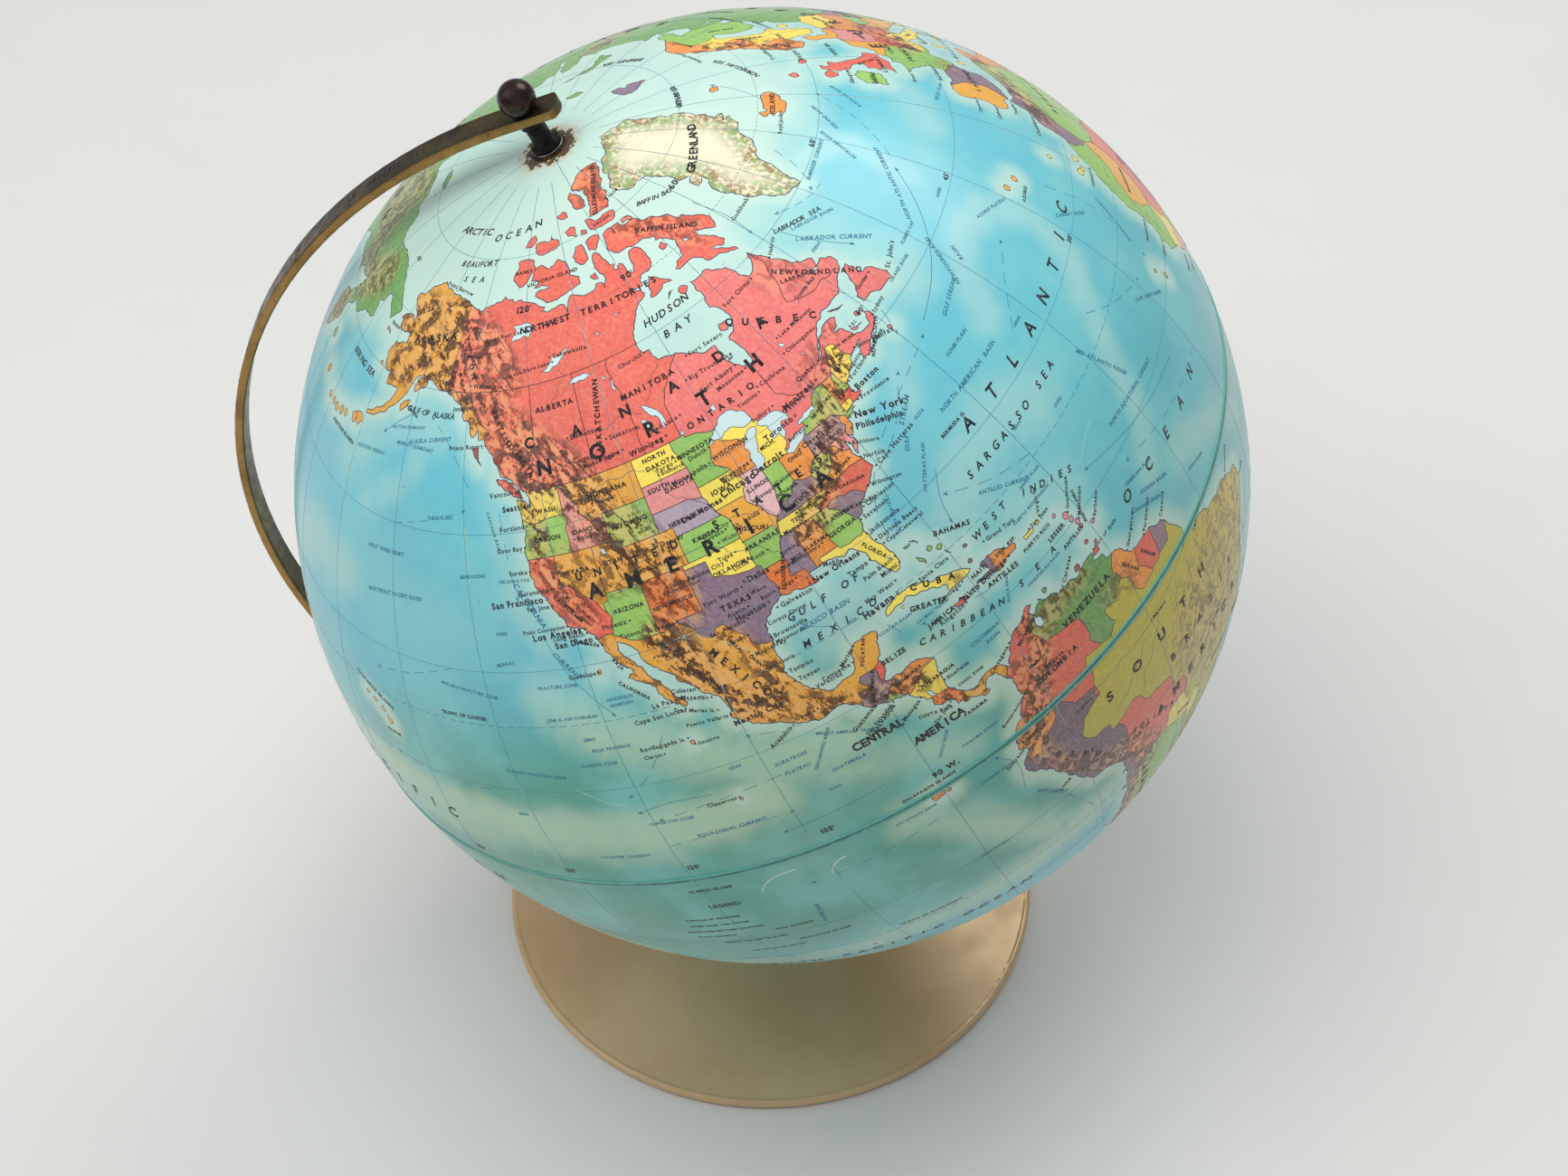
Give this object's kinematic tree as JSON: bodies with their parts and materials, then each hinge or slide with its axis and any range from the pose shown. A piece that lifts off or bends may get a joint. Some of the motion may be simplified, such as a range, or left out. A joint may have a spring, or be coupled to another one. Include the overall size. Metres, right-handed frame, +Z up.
{
  "type": "desktop globe on stand",
  "caption": "Desk globe: map ball turning on a tilted axis in a half-circle meridian arm, on a flared round metal base.",
  "frame": {"origin": "centre of the felt foot on the table", "axes": "+Z up along the base's own axis; the meridian arm stands in the XZ plane on the -X side, so the globe's north pole leans towards -X and the spin axis is (-sin 23.5 deg, 0, cos 23.5 deg)"},
  "size_m": [0.3261, 0.3054, 0.3838],
  "materials": {
    "gold_lacquer": "satin gold lacquer over spun steel",
    "antique_brass": "antiqued brown face with bright rubbed edges",
    "dark_bronze": "dark bronze, semi-gloss",
    "black_oxide": "blackened steel",
    "steel": "zinc plated",
    "cast_iron": "as cast",
    "plate_paint": "black paint on pressed steel",
    "felt": "dark green felt",
    "map_board": "printed paper on pressed board, gloss varnish",
    "raw_board": "raw grey-brown chipboard",
    "printed_tape": "printed tape, gloss varnish",
    "fibre": "vulcanised fibre"
  },
  "bodies": {
    "stand": {"base_shell": "gold_lacquer", "base_plate": "plate_paint", "base_weight": "cast_iron", "base_felt": "felt", "arm_saddle": "gold_lacquer", "centre_bolt": "steel", "plate_washer": "steel", "plate_lock_washer": "steel", "plate_nut": "steel", "weight_nut": "steel", "meridian_arm": "antique_brass", "north_pivot": "black_oxide", "north_finial": "dark_bronze", "north_washer": "fibre", "south_pivot": "black_oxide", "south_finial": "dark_bronze", "south_washer": "fibre"},
    "ball": {"north_hemisphere": "map_board", "north_ferrule": "steel", "north_backing_washer": "steel", "south_hemisphere": "map_board", "south_ferrule": "steel", "south_backing_washer": "steel", "equator_band": "raw_board", "equator_tape": "printed_tape"}
  },
  "joints": [
    {"name": "globe_spin", "type": "hinge", "parent": "stand", "child": "ball", "pos_m": [0.0067, 0, 0.2207], "axis": [-0.3987, 0, 0.9171], "continuous": true}
  ]
}
